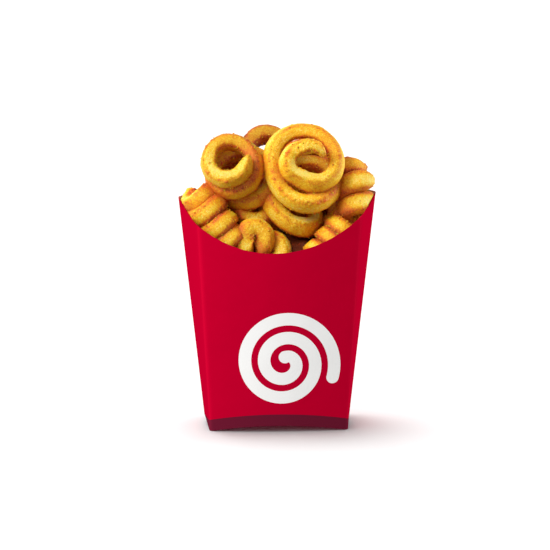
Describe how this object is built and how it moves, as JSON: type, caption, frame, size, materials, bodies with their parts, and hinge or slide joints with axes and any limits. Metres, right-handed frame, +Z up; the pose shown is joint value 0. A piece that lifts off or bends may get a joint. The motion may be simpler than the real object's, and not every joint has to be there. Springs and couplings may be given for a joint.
{
  "type": "curly fries",
  "caption": "A heap of seasoned spiral-cut fries standing in a flared, folded card scoop carton with a curved open mouth.",
  "frame": {"origin": "on the floor under the middle of the whole, 1.3 mm behind the middle of the carton's base", "axes": "+X to the viewer's right along the wide front panel, +Y away from the viewer through the carton's depth, +Z up"},
  "size_m": [0.115, 0.0684, 0.1748],
  "materials": {
    "printed_card": "smooth coated card, printed outside, bare and off-white inside",
    "fried_potato": "fine sandy fried coating, golden yellow with browner edges"
  },
  "bodies": {
    "root": {"carton": "printed_card", "curly_fries": "fried_potato"}
  },
  "joints": []
}
